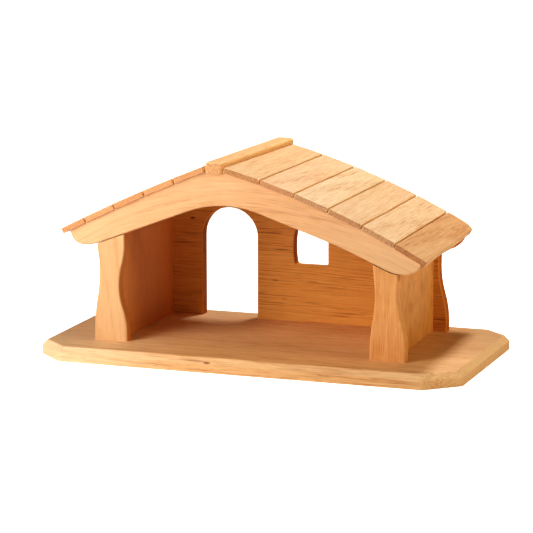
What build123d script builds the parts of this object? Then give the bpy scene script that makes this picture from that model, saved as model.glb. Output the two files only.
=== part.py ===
from build123d import *
import math
import os

# Wooden nativity stable. Millimetres, +X along the front, +Y to the back, +Z up.
# The origin is the centre of the base board's underside.

# Base board
base_length = 484.0
base_front_length = 477.0
base_depth = 250.0
base_thickness = 16.0
front_corner_cut_length = 35.0
front_corner_cut_depth = 32.0
back_corner_cut_length = 28.0
back_corner_cut_depth = 26.0
corner_round = 8.0
bevel_inset = 6.0
bevel_height = 6.5
bevel_arris = 0.8

# Boards of the house, and how far they stand from the base's edges and from the eaves
front_margin = 49.5
rear_margin = 21.0
post_thickness = 12.0
rear_wall_thickness = 14.0
side_wall_thickness = 12.0
side_wall_inset = 15.5
left_eave_reach = 27.9
right_eave_reach = 17.0
outer_round = 2.0
inner_chamfer = 0.8

# Posts: how far each edge draws in at its waist and at its head, from the width of the foot
left_post_width = 38.5
right_post_width = 39.7
foot_height = 10.0
head_height = 108.0
left_post_outer_waist = 6.3
left_post_outer_waist_height = 81.0
left_post_outer_head = 4.0
left_post_inner_waist = 9.0
left_post_inner_waist_height = 61.0
left_post_inner_head = 2.3
right_post_inner_waist = 5.4
right_post_inner_waist_height = 69.0
right_post_inner_head = 2.9
right_post_outer_waist = 9.5
right_post_outer_waist_height = 74.0
right_post_outer_head = 9.0

# Roof: each slope is a chain of flat seats, one for each plank, steeper towards the eave
ridge_offset = -41.5
ridge_seat_height = 192.0
ridge_width = 20.4
ridge_height = 12.2
ridge_sink = 1.5
ridge_round = 3.5
ridge_back_overhang = 43.0
ridge_turn_angle = 1.0
plank_thickness = 6.0
plank_gap = 1.2
plank_round = 1.2
plank_corner_chamfer = 0.8
plank_front_overhang = 3.0
plank_back_overhang = 33.0
left_plank_count = 5
left_plank_width = 36.8
left_eave_plank_width = 29.5
left_eave_overhang = 7.5
left_first_angle = 22.5
left_angle_step = 1.1
right_plank_count = 6
right_first_plank_width = 41.0
right_plank_width = 38.9
right_eave_plank_width = 37.9
right_eave_overhang = 4.3
right_first_angle = 15.3
right_angle_step = 2.55
right_plank_taper = 0.6

# Outer edge of the last plank on the right: drawn in towards the back, with a round back corner
eave_edge_waist = 2.6
eave_edge_waist_share = 0.3
eave_edge_belly = 1.9
eave_edge_belly_share = 0.5
eave_edge_back = 4.6
eave_edge_back_share = 0.85
eave_edge_bend = 160.0
eave_corner_round = 22.0

# Lower edge of the gable board: two slopes, rounded over at the top, that end in round ears
arch_offset = 9.0
arch_drop = 29.0
arch_radius = 120.0
haunch_run = 135.0
haunch_rise = 4.0
haunch_radius = 500.0
left_ear_depth = 14.6
right_ear_depth = 12.4
left_ear_length = 23.0
right_ear_length = 24.5
left_ear_angle = 76.0
right_ear_angle = 61.0
ear_radius = 21.0
ear_bend_radius = 48.0

# Openings in the rear wall
door_offset = -79.6
door_width = 66.6
door_height = 126.8
window_offset = 18.6
window_width = 39.0
window_height = 41.0
window_sill_height = 65.0
window_bow = 2.0
window_corner = 4.0
opening_chamfer = 1.0

# Loose tongues between the boards, dowels under the ridge, and glue lines
tongue_thickness = 4.0
tongue_in_base = 8.0
tongue_in_face = 6.0
tongue_in_edge = 10.0
tongue_spacing = 4.0
post_tongue_width = 22.0
dowel_diameter = 6.0
dowel_chamfer = 0.6
dowel_in_board = 14.0
dowel_in_ridge = 7.0
joint_clearance = 0.1
dowel_end_gap = 0.5
glue_line = 0.4

# The most of a straight run that one rounded corner may take
corner_share = 0.48

LEFT = -1
RIGHT = 1

# Places of a board's front and back in a list of its faces from front to back
FRONT = 0
BACK = -1

# Planes that the pieces share
base_top = base_thickness
front_face = front_margin - base_depth / 2
post_back = front_face + post_thickness
post_middle = front_face + post_thickness / 2
rear_back = base_depth / 2 - rear_margin
rear_front = rear_back - rear_wall_thickness
rear_middle = rear_back - rear_wall_thickness / 2
roof_front = front_face - plank_front_overhang
roof_back = rear_back + plank_back_overhang
roof_length = roof_back - roof_front
ridge_seat = base_top + ridge_seat_height
sky = ridge_seat + ridge_height
ridge_lean = math.tan(math.radians(ridge_turn_angle))
left_widths = [left_plank_width] * (left_plank_count - 1) + [left_eave_plank_width]
right_widths = [right_plank_width] * (right_plank_count - 1) + [right_eave_plank_width]
right_widths[0] = right_first_plank_width


def down_slope(point, side, angle, length):
    """The point that lies a length further down a slope."""
    fall = math.radians(angle)
    return (point[0] + side * length * math.cos(fall), point[1] - length * math.sin(fall))


def slope_seats(side, widths, angle, angle_step):
    """The seats of one slope, ridge to eave: upper corner, angle and plank width."""
    corner = (ridge_offset + side * ridge_width / 2, ridge_seat)
    seats = []
    for width in widths:
        seats.append((corner, angle, width))
        corner = down_slope(corner, side, angle, width + plank_gap)
        angle += angle_step
    return seats


left_seats = slope_seats(LEFT, left_widths, left_first_angle, left_angle_step)
right_seats = slope_seats(RIGHT, right_widths, right_first_angle, right_angle_step)


def seam_shifts(side, seats, taper):
    """How far down the slope each seam lies at the back, from the ridge to the eave."""
    first = side * ridge_lean * roof_length / math.cos(math.radians(seats[0][1]))
    return [first] + [-taper * number for number in range(len(seats))]


def eave_tip(side, seats, overhang):
    """The top outer point of the boards under one eave."""
    corner, angle, width = seats[-1]
    return down_slope(corner, side, angle, width + plank_gap / 2 - overhang)


def ear_points(side, tip, depth, length, angle):
    """Round corner and bend of the ear under one eave."""
    low = tip[1] - depth
    outer = tip[0] - side * depth / math.tan(math.radians(angle))
    return (outer, low), (outer - side * length, low)


left_tip = eave_tip(LEFT, left_seats, left_eave_overhang)
right_tip = eave_tip(RIGHT, right_seats, right_eave_overhang)
left_ear, left_bend = ear_points(LEFT, left_tip, left_ear_depth, left_ear_length, left_ear_angle)
right_ear, right_bend = ear_points(RIGHT, right_tip, right_ear_depth, right_ear_length, right_ear_angle)

# The gable's lower edge, from ear to ear
arch_apex = (ridge_offset + arch_offset, ridge_seat - arch_drop)
haunch_chord = (right_bend[1] - arch_apex[1]) / (right_bend[0] - arch_apex[0])
haunch = (arch_apex[0] + haunch_run, arch_apex[1] + haunch_run * haunch_chord + haunch_rise)
arch_points = [left_ear, left_bend, arch_apex, haunch, right_bend, right_ear]

# Uprights, set in from the tips of the ears
left_foot = left_tip[0] + left_eave_reach
right_foot = right_tip[0] - right_eave_reach
house_middle = (left_foot + right_foot) / 2
left_post_inner_foot = left_foot + left_post_width
right_post_inner_foot = right_foot - right_post_width
left_post_middle = left_foot + left_post_width / 2
right_post_middle = right_foot - right_post_width / 2
left_wall_middle = left_foot + side_wall_inset + side_wall_thickness / 2
right_wall_middle = right_foot - side_wall_inset - side_wall_thickness / 2
door_left = house_middle + door_offset - door_width / 2
door_right = house_middle + door_offset + door_width / 2
window_left = house_middle + window_offset - window_width / 2
window_right = house_middle + window_offset + window_width / 2


def arch_height(x):
    """Height of the gable's lower edge, before its corners are rounded."""
    for start, end in zip(arch_points, arch_points[1:]):
        if start[0] <= x <= end[0]:
            share = (x - start[0]) / (end[0] - start[0])
            return start[1] + share * (end[1] - start[1])
    return left_ear[1]


# Loose tongues: lowest and highest corner. Along a joint they stop short of those that cross its ends.
post_middles = (left_post_middle, right_post_middle)
wall_middles = (left_wall_middle, right_wall_middle)
half_tongue = tongue_thickness / 2
half_post_tongue = post_tongue_width / 2
tongue_stop = tongue_in_edge + joint_clearance + tongue_spacing
foot_low = base_top - tongue_in_base
foot_high = base_top + tongue_in_edge
tongue_sets = {
    "post_foot_tongues": [
        (
            (x - half_post_tongue, post_middle - half_tongue, foot_low),
            (x + half_post_tongue, post_middle + half_tongue, foot_high),
        )
        for x in post_middles
    ],
    "wall_foot_tongues": [
        (
            (x - half_tongue, post_back + tongue_stop, foot_low),
            (x + half_tongue, rear_front - tongue_stop, foot_high),
        )
        for x in wall_middles
    ],
    "rear_wall_foot_tongues": [
        (
            (start + tongue_stop, rear_middle - half_tongue, foot_low),
            (end - tongue_stop, rear_middle + half_tongue, foot_high),
        )
        for start, end in ((left_foot, door_left), (door_right, right_foot))
    ],
    "gable_tongues": [
        (
            (x - half_post_tongue, post_middle - half_tongue, arch_height(x) - tongue_in_edge),
            (x + half_post_tongue, post_middle + half_tongue, arch_height(x) + tongue_in_edge),
        )
        for x in post_middles
    ],
    "wall_front_tongues": [
        (
            (x - half_tongue, post_back - tongue_in_face, base_top + tongue_stop),
            (x + half_tongue, post_back + tongue_in_edge, arch_height(x) - tongue_stop),
        )
        for x in wall_middles
    ],
    "wall_rear_tongues": [
        (
            (x - half_tongue, rear_front - tongue_in_edge, base_top + tongue_stop),
            (x + half_tongue, rear_front + tongue_in_face, arch_height(x) - tongue_stop),
        )
        for x in wall_middles
    ],
}


def slab(low, high, room):
    """A box between two corners, larger all round by the given room."""
    size = [end - start + 2 * room for start, end in zip(low, high)]
    return Pos(*[start - room for start in low]) * Box(*size, align=Align.MIN)


def tongue_group(name):
    return Part() + [slab(low, high, 0) for low, high in tongue_sets[name]]


def grooved(board, *names):
    """The board with the grooves of the named sets of tongues."""
    for name in names:
        for low, high in tongue_sets[name]:
            board -= slab(low, high, joint_clearance)
    return board


def ridge_pegs(room, end_room):
    """The round pegs between the ridge and the boards under it, larger by the given room."""
    shaft = Circle(dowel_diameter / 2 + room)
    length = dowel_in_board + dowel_in_ridge + 2 * end_room
    low = ridge_seat - ridge_sink - dowel_in_board - end_room
    places = [(ridge_offset + ridge_lean * (y - roof_front), y, low) for y in (post_middle, rear_middle)]
    return [Pos(*place) * extrude(shaft, length) for place in places]


def ridge_dowels():
    pegs = ridge_pegs(0, 0)
    return Part() + [chamfer(peg.edges().filter_by(GeomType.CIRCLE), dowel_chamfer) for peg in pegs]


def drilled(board):
    """The board with the holes of the ridge dowels."""
    for hole in ridge_pegs(joint_clearance, dowel_end_gap):
        board -= hole
    return board


def ridge_bar(width):
    """A plain bar in the ridge's place, of the given width."""
    length = rear_back + ridge_back_overhang - roof_front
    bar = Box(width, length, ridge_height, align=(Align.CENTER, Align.MIN, Align.MIN))
    return Pos(ridge_offset, roof_front, ridge_seat - ridge_sink) * Rot(0, 0, -ridge_turn_angle) * bar


def notched(board):
    """The board with the notch that the ridge lies in."""
    return board - ridge_bar(ridge_width + 2 * glue_line)


def upright(face, front, thickness):
    """A board with the given front outline, from its front face backwards."""
    return extrude(Plane.XZ.offset(-front) * face, -thickness)


def rounded_line(points, radii):
    """A polyline with rounded corners, each limited by its two runs."""
    fitted = []
    for before, corner, after, radius in zip(points, points[1:], points[2:], radii):
        first = Vector(*corner) - Vector(*before)
        second = Vector(*after) - Vector(*corner)
        half_turn = math.radians(first.get_angle(second)) / 2
        room = corner_share * min(first.length, second.length) / math.tan(half_turn)
        fitted.append(min(radius, room))
    return FilletPolyline(*points, radius=fitted)


def past(inner, tip):
    """A point on the ear's outer line, as far beyond its tip again."""
    return (2 * tip[0] - inner[0], 2 * tip[1] - inner[1])


def over_arch():
    """Everything above the gable's lower edge, as a face that the seats still have to trim."""
    start = past(left_ear, left_tip)
    end = past(right_ear, right_tip)
    radii = [ear_radius, ear_bend_radius, arch_radius, haunch_radius, ear_bend_radius, ear_radius]
    lower = rounded_line([start, *arch_points, end], radii)
    lid = Polyline(end, (end[0], 2 * sky), (start[0], 2 * sky), start)
    return make_face(lower.edges() + lid.edges())


def over_seats():
    """Everything above the seats of both slopes, from the front of the planks to their back."""
    reach = 2 * max(left_ear_depth, right_ear_depth)
    corner, angle, width = left_seats[-1]
    left_end = down_slope(corner, LEFT, angle, width + reach)
    corner, angle, width = right_seats[-1]
    right_end = down_slope(corner, RIGHT, angle, width + reach)
    left_line = [left_end] + [seat[0] for seat in reversed(left_seats)]
    right_line = [seat[0] for seat in right_seats] + [right_end]
    lid = [(right_end[0], 3 * sky), (left_end[0], 3 * sky)]
    face = make_face(Polyline(*left_line, *right_line, *lid, close=True))
    return upright(face, roof_front, roof_length)


def wave(start, end):
    """Two equal arcs, upright at both ends."""
    middle = ((start[0] + end[0]) / 2, (start[1] + end[1]) / 2)
    lower = TangentArc(start, middle, tangent=(0, 1))
    upper = TangentArc(middle, end, tangent=lower % 1)
    return [lower, upper]


def waisted_edge(foot, inward, waist, waist_height, head):
    """An upright edge with a straight foot, a drawn-in waist and a fuller head, as edges and top."""
    foot_top = (foot, base_top + foot_height)
    waist_point = (foot + inward * waist, base_top + waist_height)
    head_point = (foot + inward * head, base_top + max(head_height, waist_height + foot_height))
    top = (head_point[0], sky)
    edges = [Line((foot, base_top), foot_top)]
    edges += wave(foot_top, waist_point) + wave(waist_point, head_point)
    edges += [Line(head_point, top)]
    return edges, top


def between(left, right, left_foot_x, right_foot_x):
    """The face between two upright edges."""
    left_edges, left_top = left
    right_edges, right_top = right
    lid = Line(left_top, right_top)
    floor = Line((left_foot_x, base_top), (right_foot_x, base_top))
    return make_face(ShapeList(left_edges + right_edges + [lid, floor]))


def left_outer_edge():
    return waisted_edge(
        left_foot,
        RIGHT,
        left_post_outer_waist,
        left_post_outer_waist_height,
        left_post_outer_head,
    )


def left_inner_edge():
    return waisted_edge(
        left_post_inner_foot,
        LEFT,
        left_post_inner_waist,
        left_post_inner_waist_height,
        left_post_inner_head,
    )


def right_inner_edge():
    return waisted_edge(
        right_post_inner_foot,
        RIGHT,
        right_post_inner_waist,
        right_post_inner_waist_height,
        right_post_inner_head,
    )


def right_outer_edge():
    return waisted_edge(
        right_foot,
        LEFT,
        right_post_outer_waist,
        right_post_outer_waist_height,
        right_post_outer_head,
    )


def rim(board, side):
    """The edges of a board's front or back, apart from those on the base."""
    face = board.faces().sort_by(Axis.Y)[side]
    return [edge for edge in face.edges() if edge.center().Z > base_top + outer_round]


def eased(board, outside, inside):
    """The board with rounded edges on its outside and broken edges on its inside."""
    rounded = fillet(rim(board, outside), outer_round)
    return chamfer(rim(rounded, inside), inner_chamfer)


def base_plate():
    back = base_length / 2
    front = base_front_length / 2
    y = base_depth / 2
    right_end = [
        (back - back_corner_cut_length, y),
        (back, y - back_corner_cut_depth),
        (front, front_corner_cut_depth - y),
        (front - front_corner_cut_length, -y),
    ]
    outline = right_end + [(-px, py) for px, py in reversed(right_end)]
    face = make_face(Polyline(*outline, close=True))
    board = extrude(fillet(face.vertices(), corner_round), base_thickness)
    top = board.faces().sort_by(Axis.Z)[-1]
    board = chamfer(top.edges(), bevel_inset, bevel_height, reference=top)
    board = chamfer(board.faces().sort_by(Axis.Z)[-1].edges(), bevel_arris)
    return grooved(board, "post_foot_tongues", "wall_foot_tongues", "rear_wall_foot_tongues")


def post(outline):
    board = eased(upright(outline, front_face, post_thickness), FRONT, BACK)
    board -= upright(over_arch(), front_face, post_thickness).moved(Location((0, 0, -glue_line)))
    return grooved(board, "post_foot_tongues", "gable_tongues", "wall_front_tongues")


def side_wall(middle):
    low = (middle - side_wall_thickness / 2, post_back, base_top)
    depth = rear_front - post_back
    board = Pos(*low) * Box(side_wall_thickness, depth, sky - base_top, align=Align.MIN)
    board -= over_seats().moved(Location((0, 0, -glue_line)))
    return grooved(board, "wall_foot_tongues", "wall_front_tongues", "wall_rear_tongues")


def front_gable_board():
    board = eased(upright(over_arch(), front_face, post_thickness), FRONT, BACK)
    board -= over_seats()
    return drilled(notched(grooved(board, "gable_tongues")))


def doorway():
    springing = base_top + door_height - door_width / 2
    crown = ((door_left + door_right) / 2, base_top + door_height)
    left_jamb = Line((door_left, base_top), (door_left, springing))
    arch = ThreePointArc((door_left, springing), crown, (door_right, springing))
    right_jamb = Line((door_right, springing), (door_right, base_top))
    floor = Line((door_right, base_top), (door_left, base_top))
    return make_face(ShapeList([left_jamb, arch, right_jamb, floor]))


def window():
    low = base_top + window_sill_height
    high = low + window_height
    bulge = (window_left - window_bow, (low + high) / 2)
    bowed = ThreePointArc((window_left, low), bulge, (window_left, high))
    rest = Polyline((window_left, high), (window_right, high), (window_right, low), (window_left, low))
    face = make_face([bowed] + rest.edges())
    return fillet(face.vertices(), window_corner)


def rear_wall():
    outlines = (between(left_outer_edge(), right_outer_edge(), left_foot, right_foot), over_arch())
    boards = [upright(face, rear_front, rear_wall_thickness) for face in outlines]
    trunk, crown = [eased(board, BACK, FRONT) for board in boards]
    board = trunk + crown - over_seats()
    for opening in (doorway(), window()):
        hole = upright(opening, rear_front, rear_wall_thickness)
        board -= hole
        box = hole.bounding_box()
        faces = board.faces().filter_by(Axis.Y).sort_by(Axis.Y)
        rims = faces[0].edges() + faces[-1].edges()
        around = [
            edge
            for edge in rims
            if box.min.X - opening_chamfer < edge.center().X < box.max.X + opening_chamfer
            and base_top + opening_chamfer < edge.center().Z < box.max.Z + opening_chamfer
        ]
        board = chamfer(around, opening_chamfer)
    return drilled(notched(grooved(board, "rear_wall_foot_tongues", "wall_rear_tongues")))


def ridge_beam():
    bar = ridge_bar(ridge_width)
    top = bar.faces().sort_by(Axis.Z)[-1]
    return drilled(fillet(top.edges() + bar.edges().filter_by(Axis.Z), ridge_round))


def plank_outline(width, inner_shift, outer_shift):
    """A plank seen from above, X down the slope and Y to the back, its corners cut off."""
    corners = [(0, 0), (width, 0), (width + outer_shift, roof_length), (inner_shift, roof_length)]
    face = make_face(Polyline(*corners, close=True))
    return chamfer(face.vertices(), plank_corner_chamfer)


def eave_plank_outline(width, inner_shift):
    """The last plank on the right, with its drawn-in outer edge and round back corner."""
    bends = [
        (width, 0),
        (width - eave_edge_waist, eave_edge_waist_share * roof_length),
        (width - eave_edge_belly, eave_edge_belly_share * roof_length),
        (width - eave_edge_back, eave_edge_back_share * roof_length),
        (width - eave_edge_back, roof_length),
        (inner_shift, roof_length),
    ]
    outer = rounded_line(bends, [eave_edge_bend, eave_edge_bend, eave_edge_bend, eave_corner_round])
    inner = Polyline((inner_shift, roof_length), (0, 0), (width, 0))
    face = make_face(outer.edges() + inner.edges())
    square = [vertex for vertex in face.vertices() if vertex.Y < plank_gap or vertex.X < plank_gap]
    return chamfer(square, plank_corner_chamfer)


def roof_plank(side, seat, outline):
    corner, angle, width = seat
    facing = outline if side == RIGHT else mirror(outline, about=Plane.YZ)
    bar = extrude(facing, plank_thickness, dir=(0, 0, 1))
    bar = fillet(bar.faces().sort_by(Axis.Z)[-1].edges(), plank_round)
    place = Pos(corner[0], roof_front, corner[1]) * Rot(0, side * angle, 0)
    return place * Pos(side * plank_gap / 2, 0, 0) * bar


left_post_outline = between(left_outer_edge(), left_inner_edge(), left_foot, left_post_inner_foot)
right_post_outline = between(right_inner_edge(), right_outer_edge(), right_post_inner_foot, right_foot)

pieces = {
    "base_plate": base_plate(),
    "front_left_post": post(left_post_outline),
    "front_right_post": post(right_post_outline),
    "left_side_wall": side_wall(left_wall_middle),
    "right_side_wall": side_wall(right_wall_middle),
    "front_gable_board": front_gable_board(),
    "rear_wall": rear_wall(),
    "ridge_beam": ridge_beam(),
    "ridge_dowels": ridge_dowels(),
}
left_shifts = seam_shifts(LEFT, left_seats, 0)
for number, seat in enumerate(left_seats):
    outline = plank_outline(seat[2], left_shifts[number], left_shifts[number + 1])
    pieces[f"left_roof_plank_{number + 1}"] = roof_plank(LEFT, seat, outline)
right_shifts = seam_shifts(RIGHT, right_seats, right_plank_taper)
for number, seat in enumerate(right_seats):
    outline = plank_outline(seat[2], right_shifts[number], right_shifts[number + 1])
    if number == right_plank_count - 1:
        outline = eave_plank_outline(seat[2], right_shifts[number])
    pieces[f"right_roof_plank_{number + 1}"] = roof_plank(RIGHT, seat, outline)
for name in tongue_sets:
    pieces[name] = tongue_group(name)

os.makedirs("parts", exist_ok=True)
for name, piece in pieces.items():
    export_step(piece, f"parts/{name}.step")
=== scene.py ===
import math

import bpy
from mathutils import Euler, Matrix, Vector


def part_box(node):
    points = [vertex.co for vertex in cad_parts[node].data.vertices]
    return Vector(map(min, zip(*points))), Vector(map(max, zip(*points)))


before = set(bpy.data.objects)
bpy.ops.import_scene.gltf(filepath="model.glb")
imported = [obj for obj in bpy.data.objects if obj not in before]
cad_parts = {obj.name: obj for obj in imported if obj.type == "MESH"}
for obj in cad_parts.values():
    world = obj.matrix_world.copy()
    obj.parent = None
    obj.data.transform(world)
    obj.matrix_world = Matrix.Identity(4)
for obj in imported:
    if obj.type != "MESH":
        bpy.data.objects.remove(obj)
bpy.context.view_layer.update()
print("frame loaded,", len(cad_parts), "boards, tongues and dowels")

axisX = Vector((1, 0, 0))
axisY = Vector((0, 1, 0))
axisZ = Vector((0, 0, 1))


def tint(red, green, blue):
    # a screen colour, 0 to 255, as the linear colour that the shader wants
    def linear(value):
        share = value / 255
        return share / 12.92 if share <= 0.04045 else ((share + 0.055) / 1.055) ** 2.4

    return (linear(red), linear(green), linear(blue), 1.0)


def withToneAndLight(colour, toneAndLight):
    return (*[min(0.98, channel * share) for channel, share in zip(colour, toneAndLight)], 1.0)


def boxMiddle(node):
    low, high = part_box(node)
    return (low + high) / 2


# node wiring: a value that is a socket is linked, anything else is set on the input
def feed(tree, value, socket):
    if isinstance(value, bpy.types.NodeSocket):
        tree.links.new(value, socket)
    else:
        socket.default_value = value


def mathStep(tree, operation, first, second=0.5, third=None):
    node = tree.nodes.new("ShaderNodeMath")
    node.operation = operation
    feed(tree, first, node.inputs[0])
    feed(tree, second, node.inputs[1])
    if third is not None:
        feed(tree, third, node.inputs[2])
    return node.outputs[0]


def vectorStep(tree, operation, first, second=(0, 0, 0)):
    node = tree.nodes.new("ShaderNodeVectorMath")
    node.operation = operation
    feed(tree, first, node.inputs[0])
    feed(tree, second, node.inputs[1])
    return node.outputs["Value" if operation == "LENGTH" else "Vector"]


def rangeStep(tree, value, low, high, lowOut=0.0, highOut=1.0):
    # low to high becomes lowOut to highOut, eased at both ends
    node = tree.nodes.new("ShaderNodeMapRange")
    node.interpolation_type = "SMOOTHSTEP"
    feed(tree, value, node.inputs["Value"])
    node.inputs["From Min"].default_value = low
    node.inputs["From Max"].default_value = high
    node.inputs["To Min"].default_value = lowOut
    node.inputs["To Max"].default_value = highOut
    return node.outputs["Result"]


# noise layers of the wood: lumps per metre along, across and through the board, and for a layer that is
# used as a mask the noise values between which the mask rises
grainFields = {
    "drift": {"perMetre": (5, 19, 19), "detail": 2.0, "roughness": 0.55},
    "fibre": {"perMetre": (26, 780, 780), "detail": 4.0, "roughness": 0.68},
    "hair": {"perMetre": (40, 1300, 1300), "detail": 2.0, "roughness": 0.55},
    "cloud": {"perMetre": (3, 15, 15), "detail": 3.0, "roughness": 0.55},
    "mottle": {"perMetre": (70, 110, 110), "detail": 3.0, "roughness": 0.60},
    "fleck": {"perMetre": (60, 1000, 1000), "detail": 1.0, "roughness": 0.55, "mask": (0.66, 0.74)},
    "broken": {"perMetre": (14, 60, 60), "detail": 2.0, "roughness": 0.55, "mask": (0.38, 0.66)},
    "streak": {"perMetre": (20, 640, 640), "detail": 2.0, "roughness": 0.50, "mask": (0.57, 0.68)},
    "openWood": {"perMetre": (6, 45, 45), "detail": 2.0, "roughness": 0.55, "mask": (0.40, 0.62)},
    "speckle": {"perMetre": (160, 620, 620), "detail": 3.0, "roughness": 0.70, "mask": (0.42, 0.64)},
}


def noiseField(tree, vector, name):
    field = grainFields[name]
    node = tree.nodes.new("ShaderNodeTexNoise")
    node.inputs["Scale"].default_value = 1.0
    node.inputs["Detail"].default_value = field["detail"]
    node.inputs["Roughness"].default_value = field["roughness"]
    tree.links.new(vectorStep(tree, "MULTIPLY", vector, field["perMetre"]), node.inputs["Vector"])
    return node


def grainMask(tree, vector, name, show=1.0):
    # 0 where the layer is below its mask values, show where it is above them
    noise = noiseField(tree, vector, name).outputs["Fac"]
    low, high = grainFields[name]["mask"]
    return rangeStep(tree, noise, low, high, 0.0, show)


def mixColour(tree, share, first, second):
    # a share of the second colour over the first
    node = tree.nodes.new("ShaderNodeMix")
    node.data_type = "RGBA"
    feed(tree, share, node.inputs[0])
    feed(tree, first, node.inputs[6])   # 6 and 7 are this node's two colours
    feed(tree, second, node.inputs[7])
    return node.outputs[2]


def boardView(tree, vector, middle, turn, scale=(1, 1, 1)):
    # board coordinates: X along the grain, Y across the face, Z through the board
    node = tree.nodes.new("ShaderNodeMapping")
    node.vector_type = "TEXTURE"
    node.inputs["Location"].default_value = middle
    node.inputs["Rotation"].default_value = turn
    node.inputs["Scale"].default_value = scale
    tree.links.new(vector, node.inputs["Vector"])
    return node.outputs["Vector"]


def archedView(tree, board, bend):
    # grain that falls away to both ends, by bend times the square of the distance along the board
    parts = tree.nodes.new("ShaderNodeSeparateXYZ")
    tree.links.new(board, parts.inputs[0])
    fall = mathStep(tree, "MULTIPLY", parts.outputs["X"], parts.outputs["X"])
    arched = tree.nodes.new("ShaderNodeCombineXYZ")
    tree.links.new(parts.outputs["X"], arched.inputs["X"])
    tree.links.new(mathStep(tree, "MULTIPLY_ADD", fall, bend, parts.outputs["Y"]), arched.inputs["Y"])
    tree.links.new(parts.outputs["Z"], arched.inputs["Z"])
    return arched.outputs["Vector"]


def boardTurn(grain, through):
    across = through.cross(grain)
    return Matrix((grain, across, through)).transposed().to_euler("XYZ")


alder = {
    "light": tint(240, 194, 143),
    "mid": tint(231, 178, 123),
    "dark": tint(209, 148, 93),
    "line": tint(176, 108, 58),   # thin late-wood lines
    "fleck": tint(150, 88, 46),
    "knot": tint(100, 38, 16),
    "endGrain": tint(203, 143, 90),
    "pore": tint(142, 82, 42),
    # pale colour for sanded edges, for painted highlights on rounded edges and for painted light on a
    # board's lit ends
    "edge": tint(246, 210, 164),
    "toneAndLight": (1.0, 1.0, 1.0),    # red, green and blue of this board against plain alder: partly its own tone, partly painted light and shade, paler on lit boards and darker and redder on shaded ones
    "ringPerMetre": 330.0,        # growth rings across the board
    "ringDetail": 3.0,
    "ringRoughness": 0.6,
    "ringTone": (0.28, 0.72),     # values of the ring noise that go from light to dark wood
    "ringLine": (0.60, 0.74),     # and those where the late-wood line rises
    "toneRange": (0.25, 0.75),    # noise values that the layers of tone use
    "ringShow": 0.26,             # how much each layer shows
    "lineShow": 0.22,
    "fibreShow": 0.54,
    "cloudShow": 0.26,
    "hairShow": 0.44,
    "fleckShow": 0.24,
    "streakShow": 0.10,
    "edgeShow": 0.16,
    "mottleShow": 0.10,
    "sideShadeShow": 0.0,              # how far the narrow sides take the line colour, as painted shade
    "poreShow": 0.60,
    "endFrom": (0.60, 0.95),      # how squarely a face looks along the grain when it turns to end grain
    "sideFrom": (0.75, 0.98),     # and across the board when it counts as a narrow side
    "edgeFrom": (0.25, 0.65),     # and how slanted it is when it counts as a rounded edge
    "paintedLitEnds": (),               # stretches of the length painted paler, as painted light where the lamps light a board more: start, end, share
    "grainSize": 1.0,             # coarseness of fibres, streaks and flecks
    "wave": 0.006,                # how far the grain wanders, in metres
    "bend": 0.0,                  # arch of the grain along the board, per metre
    "pith": (0.03, -0.10),        # middle of the log, across and through the board
    "taper": 0.03,
    "shift": (0.0, 0.0, 0.0),     # where in the log this board was cut
    "roughness": (0.46, 0.62),
    "endDull": 0.3,               # how much rougher the end grain is
    "gloss": 0.35,
    "sheenFrom": (0.3, 0.7),      # fibre values that go from the low to the high roughness
    "bumpDepth": 0.00016,
    "bumpStrength": 0.5,
    "hairHeight": 0.5,            # height of hairs and flecks against the fibres
    "fleckHeight": -0.8,
    "knots": (),
    "knotCore": 0.25,             # share of a knot's radius that is darkest
    "knotWander": 60.0,           # how far the wandering grain bends a knot's outline
}


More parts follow.
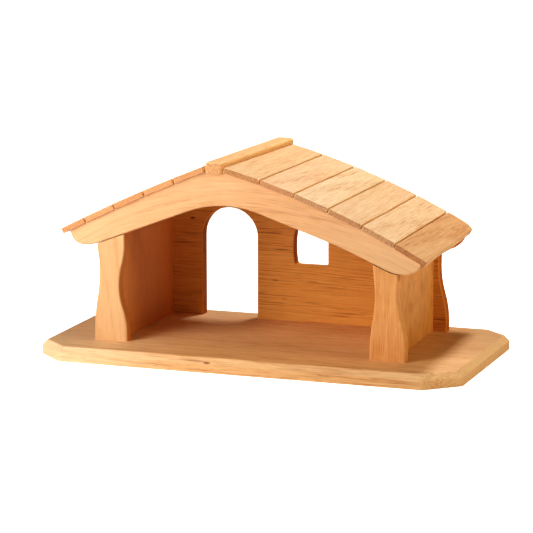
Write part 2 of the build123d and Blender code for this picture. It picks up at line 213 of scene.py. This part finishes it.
def woodMaterial(name, middle, grain, through, changes):
    # solid wood: the tone is noise of the distance to the pith line, which wanders with a slow noise;
    # fibres and flecks are noises drawn out along the grain; end grain and edges come from the normal
    look = {**alder, **changes}
    for key in ("light", "mid", "dark", "line", "fleck", "endGrain", "pore", "edge"):
        look[key] = withToneAndLight(look[key], look["toneAndLight"])
    turn = boardTurn(grain, through)
    material = bpy.data.materials.new(name)
    material.use_nodes = True
    tree = material.node_tree
    shader = tree.nodes["Principled BSDF"]
    place = tree.nodes.new("ShaderNodeTexCoord").outputs["Object"]
    board = boardView(tree, place, middle, turn)
    if look["bend"]:
        board = archedView(tree, board, look["bend"])
    log = vectorStep(tree, "ADD", board, look["shift"])
    fine = vectorStep(tree, "MULTIPLY", log, (1, 1 / look["grainSize"], 1 / look["grainSize"]))

    # growth rings, with a thin darker line where each one ends
    drift = noiseField(tree, log, "drift").outputs["Color"]
    drift = vectorStep(tree, "SUBTRACT", drift, (0.5, 0.5, 0.5))
    drift = vectorStep(tree, "MULTIPLY", drift, (0, look["wave"], look["wave"]))
    fromPith = vectorStep(tree, "SUBTRACT", board, (0, *look["pith"]))
    fromPith = vectorStep(tree, "ADD", fromPith, drift)
    along = tree.nodes.new("ShaderNodeSeparateXYZ")
    tree.links.new(board, along.inputs[0])
    radius = vectorStep(tree, "LENGTH", vectorStep(tree, "MULTIPLY", fromPith, (0, 1, 1)))
    radius = mathStep(tree, "MULTIPLY_ADD", along.outputs["X"], look["taper"], radius)
    rings = tree.nodes.new("ShaderNodeTexNoise")
    rings.noise_dimensions = "1D"
    rings.inputs["Scale"].default_value = look["ringPerMetre"]
    rings.inputs["Detail"].default_value = look["ringDetail"]
    rings.inputs["Roughness"].default_value = look["ringRoughness"]
    tree.links.new(radius, rings.inputs["W"])
    ringTone = rangeStep(tree, rings.outputs["Fac"], *look["ringTone"])
    ringLine = rangeStep(tree, rings.outputs["Fac"], *look["ringLine"])

    # fibres, flecks, dark streaks where the wood is open, and slow clouds of tone
    fibre = noiseField(tree, fine, "fibre").outputs["Fac"]
    hair = noiseField(tree, fine, "hair").outputs["Fac"]
    cloud = noiseField(tree, log, "cloud").outputs["Fac"]
    mottle = noiseField(tree, log, "mottle").outputs["Fac"]
    fleckMask = grainMask(tree, fine, "fleck", look["fleckShow"])
    brokenMask = grainMask(tree, log, "broken", look["lineShow"])
    lineMask = mathStep(tree, "MULTIPLY", ringLine, brokenMask)
    openMask = grainMask(tree, log, "openWood", look["streakShow"])
    streakMask = mathStep(tree, "MULTIPLY", grainMask(tree, fine, "streak"), openMask)

    tone = mathStep(tree, "MULTIPLY_ADD", ringTone, look["ringShow"], 0.5 - look["ringShow"] / 2)
    layers = ((fibre, "fibreShow"), (hair, "hairShow"), (cloud, "cloudShow"), (mottle, "mottleShow"))
    for layer, show in layers:
        spread = rangeStep(tree, layer, *look["toneRange"], -look[show] / 2, look[show] / 2)
        tone = mathStep(tree, "ADD", tone, spread)
    colour = mixColour(tree, rangeStep(tree, tone, 0.0, 0.5), look["light"], look["mid"])
    colour = mixColour(tree, rangeStep(tree, tone, 0.5, 1.0), colour, look["dark"])
    # painted light: stretches of the length that the lamps light more are painted paler
    for start, end, share in look["paintedLitEnds"]:
        litEndShare = rangeStep(tree, along.outputs["X"], start, end, 0.0, share)
        colour = mixColour(tree, litEndShare, colour, look["edge"])
    colour = mixColour(tree, lineMask, colour, look["line"])
    colour = mixColour(tree, streakMask, colour, look["line"])
    colour = mixColour(tree, fleckMask, colour, look["fleck"])

    # end grain is speckled, narrow sides can take painted shade, and rounded edges are painted lighter,
    # partly as sanded wear and partly as a painted highlight
    normal = tree.nodes.new("ShaderNodeNewGeometry").outputs["Normal"]
    facing = tree.nodes.new("ShaderNodeSeparateXYZ")
    tree.links.new(boardView(tree, normal, (0, 0, 0), turn), facing.inputs[0])
    endShare = rangeStep(tree, mathStep(tree, "ABSOLUTE", facing.outputs["X"]), *look["endFrom"])
    pores = grainMask(tree, log, "speckle", look["poreShow"])
    endColour = mixColour(tree, pores, look["endGrain"], look["pore"])
    colour = mixColour(tree, endShare, colour, endColour)
    # painted shade: the narrow sides are darkened with the line colour
    sideFace = mathStep(tree, "ABSOLUTE", facing.outputs["Y"])
    sideShadeShare = rangeStep(tree, sideFace, *look["sideFrom"], 0.0, look["sideShadeShow"])
    colour = mixColour(tree, sideShadeShare, colour, look["line"])
    flatness = mathStep(tree, "ABSOLUTE", facing.outputs["Z"])
    squared = mathStep(tree, "MULTIPLY", flatness, flatness)
    steepness = mathStep(tree, "SQRT", mathStep(tree, "SUBTRACT", 1.0, squared))
    slant = mathStep(tree, "MINIMUM", flatness, steepness)
    # rounded edges painted paler: partly sanded wear, partly a painted highlight
    edgeShare = rangeStep(tree, slant, *look["edgeFrom"], 0.0, look["edgeShow"])
    colour = mixColour(tree, edgeShare, colour, look["edge"])

    wander = (0, look["knotWander"], look["knotWander"])
    for knot in look["knots"]:
        spot = boardView(tree, place, knot["at"], turn, knot["size"])
        spot = vectorStep(tree, "ADD", spot, vectorStep(tree, "MULTIPLY", drift, wander))
        mask = rangeStep(tree, vectorStep(tree, "LENGTH", spot), look["knotCore"], 1.0, knot["dark"], 0.0)
        colour = mixColour(tree, mask, colour, look["knot"])
    tree.links.new(colour, shader.inputs["Base Color"])

    # oiled finish, with the fibres just felt
    sheen = rangeStep(tree, fibre, *look["sheenFrom"], *look["roughness"])
    sheen = mathStep(tree, "MULTIPLY_ADD", endShare, look["endDull"], sheen)
    tree.links.new(sheen, shader.inputs["Roughness"])
    shader.inputs["Specular IOR Level"].default_value = look["gloss"]
    height = mathStep(tree, "MULTIPLY_ADD", hair, look["hairHeight"], fibre)
    height = mathStep(tree, "MULTIPLY_ADD", fleckMask, look["fleckHeight"], height)
    bump = tree.nodes.new("ShaderNodeBump")
    bump.inputs["Strength"].default_value = look["bumpStrength"]
    bump.inputs["Distance"].default_value = look["bumpDepth"]
    tree.links.new(height, bump.inputs["Height"])
    tree.links.new(bump.outputs["Normal"], shader.inputs["Normal"])
    return material


def dress(node, material):
    # every slot of the board gets the one material
    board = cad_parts[node]
    if not board.material_slots:
        board.data.materials.append(material)
    for slot in board.material_slots:
        slot.material = material


# boards of the house: grain direction, the way through the board, and what differs from plain alder,
# including each board's tone, which is partly painted light and shade
boards = {
    "base_plate": {
        "grain": axisX,
        "through": axisZ,
        "look": {
            "pith": (0.02, -0.16),
            "shift": (0.3, 0.1, 0.0),
            "toneAndLight": (0.97, 0.98, 0.92),
            "gloss": 0.2,
            "endGrain": tint(228, 182, 136),
            "pore": tint(206, 156, 112),
            "knot": tint(140, 66, 24),
            "edge": tint(250, 218, 180),
            # painted light: both ends of the base are painted paler, where the lamps light them more
            "paintedLitEnds": [(-0.04, -0.20, 0.48), (0.17, 0.22, 0.17)],
            "grainSize": 1.4,
            "fibreShow": 0.75,
            "fleckShow": 0.30,
            "streakShow": 0.34,
            "knots": [
                {"at": (-0.0330, -0.1245, 0.0107), "size": (0.006, 0.006, 0.0017), "dark": 0.8},
                {"at": (-0.0460, -0.1240, 0.0120), "size": (0.022, 0.006, 0.0014), "dark": 0.45},
            ],
        },
    },
    "front_left_post": {
        "grain": axisZ,
        "through": -axisY,
        "look": {
            "pith": (0.02, -0.07),
            "shift": (0.0, 0.4, 0.2),
            "toneAndLight": (0.86, 0.90, 0.90),
            "gloss": 0.2,
            # this line colour also paints the shade on the post's narrow sides
            "line": tint(226, 130, 40),
            "sideShadeShow": 0.7,
            "fleckShow": 0.1,
            "ringShow": 0.2,
            "hairShow": 0.2,
            "fibreShow": 0.3,
        },
    },
    "front_right_post": {
        "grain": axisZ,
        "through": -axisY,
        "look": {
            "pith": (-0.02, -0.06),
            "shift": (0.7, 0.1, 0.3),
            "toneAndLight": (0.90, 0.74, 0.52),
            "gloss": 0.2,
            "mottleShow": 0.25,
        },
    },
    "left_side_wall": {
        "grain": axisZ,
        "through": axisX,
        "look": {
            "pith": (0.03, -0.11),
            "shift": (0.2, 0.8, 0.1),
            "toneAndLight": (1.05, 0.84, 0.52),
            "gloss": 0.2,
            "ringShow": 0.06,
            "lineShow": 0.06,
            "fibreShow": 0.20,
            "hairShow": 0.16,
            "fleckShow": 0.10,
            "mottleShow": 0.15,
        },
    },
    "right_side_wall": {
        "grain": axisZ,
        "through": axisX,
        "look": {
            "pith": (-0.04, -0.09),
            "shift": (0.5, 0.5, 0.9),
            "toneAndLight": (0.87, 0.73, 0.40),
            "gloss": 0.2,
            "ringShow": 0.05,
            "lineShow": 0.08,
            "fibreShow": 0.26,
            "cloudShow": 0.45,
            "mottleShow": 0.60,
        },
    },
    "front_gable_board": {
        "grain": axisX,
        "through": -axisY,
        "look": {
            "pith": (0.06, -0.10),
            "shift": (0.1, 0.2, 0.6),
            "toneAndLight": (0.90, 0.87, 0.83),
            "bend": 1.3,
            # painted light: the left end and right half of the gable board are painted paler
            "paintedLitEnds": [(-0.10, -0.19, 0.20), (0.02, 0.19, 0.28)],
            "ringShow": 0.18,
            "fibreShow": 0.40,
            "cloudShow": 0.18,
            "hairShow": 0.36,
            "fleckShow": 0.14,
        },
    },
    "rear_wall": {
        "grain": axisX,
        "through": -axisY,
        "look": {
            "pith": (-0.30, -0.03),
            "shift": (0.9, 0.3, 0.2),
            "toneAndLight": (0.95, 0.75, 0.33),
            "line": tint(150, 76, 34),
            # the end grain shows in the door and window reveals and is painted darker and redder, as
            # painted shade
            "endGrain": tint(200, 126, 52),
            "pore": tint(156, 88, 34),
            "gloss": 0.12,
            "ringPerMetre": 640.0,
            "wave": 0.012,
            "grainSize": 0.8,
            "ringShow": 0.50,
            "lineShow": 0.75,
            "streakShow": 0.60,
            "fleckShow": 0.30,
            "knots": [
                {"at": (-0.1307, 0.090, 0.1282), "size": (0.005, 0.002, 0.004), "dark": 0.8},
                {"at": (-0.0215, 0.090, 0.0977), "size": (0.016, 0.0012, 0.004), "dark": 0.7},
                {"at": (-0.0307, 0.090, 0.0618), "size": (0.006, 0.0009, 0.004), "dark": 0.7},
                {"at": (0.0143, 0.090, 0.0627), "size": (0.012, 0.0008, 0.004), "dark": 0.5},
                {"at": (-0.0192, 0.090, 0.0408), "size": (0.005, 0.0008, 0.004), "dark": 0.6},
            ],
        },
    },
    "ridge_beam": {
        "grain": axisY,
        "through": axisZ,
        "look": {
            "pith": (0.04, -0.05),
            "shift": (0.4, 0.9, 0.5),
            "toneAndLight": (1.12, 1.15, 1.10),
            "endGrain": tint(214, 160, 110),
        },
    },
}
for node, board in boards.items():
    dress(node, woodMaterial(node, boxMiddle(node), board["grain"], board["through"], board["look"]))
print("house boards dressed:", len(boards))

# roof planks: each slope's angles, the look of its front ends, and a tone for each plank, ridge to eave,
# which on the right slope is partly painted light
roof = {
    "left": {
        "firstAngle": 22.5,
        "angleStep": 1.1,
        "side": -1,
        "endGrain": tint(214, 158, 108),
        "pore": tint(188, 128, 82),
        "toneAndLight": [
            (1.00, 0.98, 0.94),
            (1.04, 1.02, 0.98),
            (0.98, 0.94, 0.88),
            (1.03, 1.03, 1.00),
            (0.96, 0.91, 0.85),
        ],
    },
    "right": {
        "firstAngle": 15.3,
        "angleStep": 2.55,
        "side": 1,
        "endGrain": tint(196, 136, 86),
        "pore": tint(142, 82, 42),
        "toneAndLight": [
            (1.03, 1.13, 1.20),
            (1.09, 1.22, 1.43),
            (1.08, 1.32, 1.62),
            (1.06, 1.21, 1.43),
            (1.11, 1.32, 1.64),
            (0.97, 0.96, 0.95),
        ],
    },
}
# what all planks share: softer marks than the house, and where in the log they lie, plank by plank
plankLook = {
    "dark": tint(204, 137, 81),
    "line": tint(186, 116, 60),
    "fleck": tint(180, 106, 48),
    "lineShow": 0.14,
    "fleckShow": 0.16,
}
plankCut = {
    "pithSwing": 0.03,
    "pithTurn": 2.1,              # radians from plank to plank
    "pithDepths": (-0.06, -0.08, -0.10),
    "shiftStep": (0.37, 0.21, 0.13),
}
for name, slope in roof.items():
    for number, toneAndLight in enumerate(slope["toneAndLight"]):
        node = f"{name}_roof_plank_{number + 1}"
        angle = math.radians(slope["firstAngle"] + number * slope["angleStep"]) * slope["side"]
        lean = Euler((0, angle, 0)).to_matrix()
        pithAcross = plankCut["pithSwing"] * math.cos(plankCut["pithTurn"] * number)
        pithThrough = plankCut["pithDepths"][number % len(plankCut["pithDepths"])]
        shift = number * Vector(plankCut["shiftStep"]) + slope["side"] * axisY
        look = {
            **plankLook,
            "pith": (pithAcross, pithThrough),
            "shift": shift,
            "toneAndLight": toneAndLight,
            "endGrain": slope["endGrain"],
            "pore": slope["pore"],
        }
        dress(node, woodMaterial(node, boxMiddle(node), axisY, lean @ axisZ, look))
    print(name, "slope dressed:", len(slope["toneAndLight"]), "planks")

# tongues and dowels are hidden in the joints and share one plain wood
jointLook = {"pith": (0.0, -0.2)}
joints = [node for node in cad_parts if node.endswith(("tongues", "dowels"))]
jointWood = woodMaterial("joint_wood", (0, 0, 0), axisX, axisZ, jointLook)
for node in joints:
    dress(node, jointWood)
print("hidden joints dressed:", len(joints))

# white floor and backdrop: they glow for the camera alone, so the wood gets only the lamps, what the
# floor throws back of them, and a weak sky
stageLook = {
    "white": (1.0, 1.0, 1.0, 1.0),
    "floorHalf": 20.0,
    "floorTone": (0.90, 0.90, 0.90, 1.0),
    "floorRoughness": 0.9,
    "sweepGlow": 1.05,
    "skyGlow": 1.3,
    "skyLight": 0.03,
}
half = stageLook["floorHalf"]
corners = [(-half, -half, 0), (half, -half, 0), (half, half, 0), (-half, half, 0)]
floorMesh = bpy.data.meshes.new("floor")
floorMesh.from_pydata(corners, [], [(0, 1, 2, 3)])
floor = bpy.data.objects.new("floor", floorMesh)
bpy.context.scene.collection.objects.link(floor)
floorPaint = bpy.data.materials.new("floor_paint")
floorPaint.use_nodes = True
floorTree = floorPaint.node_tree
floorShader = floorTree.nodes["Principled BSDF"]
floorShader.inputs["Base Color"].default_value = stageLook["floorTone"]
floorShader.inputs["Roughness"].default_value = stageLook["floorRoughness"]
floorShader.inputs["Emission Color"].default_value = stageLook["white"]
seen = floorTree.nodes.new("ShaderNodeLightPath").outputs["Is Camera Ray"]
glow = mathStep(floorTree, "MULTIPLY", seen, stageLook["sweepGlow"])
floorTree.links.new(glow, floorShader.inputs["Emission Strength"])
floorMesh.materials.append(floorPaint)

world = bpy.data.worlds.new("studio")
world.use_nodes = True
skyTree = world.node_tree
sky = skyTree.nodes["Background"]
sky.inputs["Color"].default_value = stageLook["white"]
seen = skyTree.nodes.new("ShaderNodeLightPath").outputs["Is Camera Ray"]
glow = mathStep(skyTree, "MULTIPLY_ADD", seen, stageLook["skyGlow"], stageLook["skyLight"])
skyTree.links.new(glow, sky.inputs["Strength"])
bpy.context.scene.world = world
print("floor and backdrop set")

# a small lamp above and a little behind throws the roof's shadow on the base; the softboxes stand close
# to the left end, so the front darkens to the right, and the card on the right throws warm light back
lamps = {
    "overhead_lamp": {"at": (0.09, 0.50, 1.10), "size": 0.16, "power": 10.0, "tint": (0.94, 1.0, 1.10)},
    "key_softbox": {"at": (-0.75, -0.95, 0.95), "size": 0.7, "power": 12.0, "tint": (1.0, 1.0, 1.0)},
    "low_softbox": {"at": (-0.50, -0.75, 0.22), "size": 0.4, "power": 4.1, "tint": (0.92, 0.98, 1.12)},
    "front_softbox": {"at": (-0.10, -2.00, 0.80), "size": 1.2, "power": 3.0, "tint": (1.0, 0.95, 0.82)},
    "right_card": {"at": (2.0, -0.2, 0.8), "size": 0.9, "power": 21.0, "tint": (1.0, 0.87, 0.54)},
}
lampAim = Vector((0.0, 0.0, 0.1))
for name, lamp in lamps.items():
    light = bpy.data.lights.new(name, "AREA")
    light.size = lamp["size"]
    light.energy = lamp["power"]
    light.color = lamp["tint"]
    holder = bpy.data.objects.new(name, light)
    holder.location = lamp["at"]
    holder.rotation_euler = (lampAim - Vector(lamp["at"])).to_track_quat("-Z", "Y").to_euler()
    holder.visible_camera = False
    bpy.context.scene.collection.objects.link(holder)
print("lamps set:", len(lamps))

# the photograph's viewpoint: place in metres, turns in radians, focal length in pixels of the picture
view = {
    "at": (0.83503, -2.39825, 0.56312),
    "yaw": 0.3385,
    "pitch": -0.1822,
    "focalPixels": 2354.99,
    "imagePixels": 533,
    "sensorWidth": 36.0,
    "contrast": 1.2,
}
camera = bpy.data.cameras.new("photo_camera")
camera.sensor_fit = "HORIZONTAL"
camera.sensor_width = view["sensorWidth"]
camera.lens = camera.sensor_width * view["focalPixels"] / view["imagePixels"]
cameraHolder = bpy.data.objects.new("photo_camera", camera)
cameraHolder.location = view["at"]
cameraHolder.rotation_euler = (math.pi / 2 + view["pitch"], 0, view["yaw"])
bpy.context.scene.collection.objects.link(cameraHolder)
bpy.context.scene.camera = cameraHolder
bpy.context.scene.view_settings.view_transform = "Standard"
bpy.context.scene.view_settings.gamma = 1 / view["contrast"]
print("camera set")
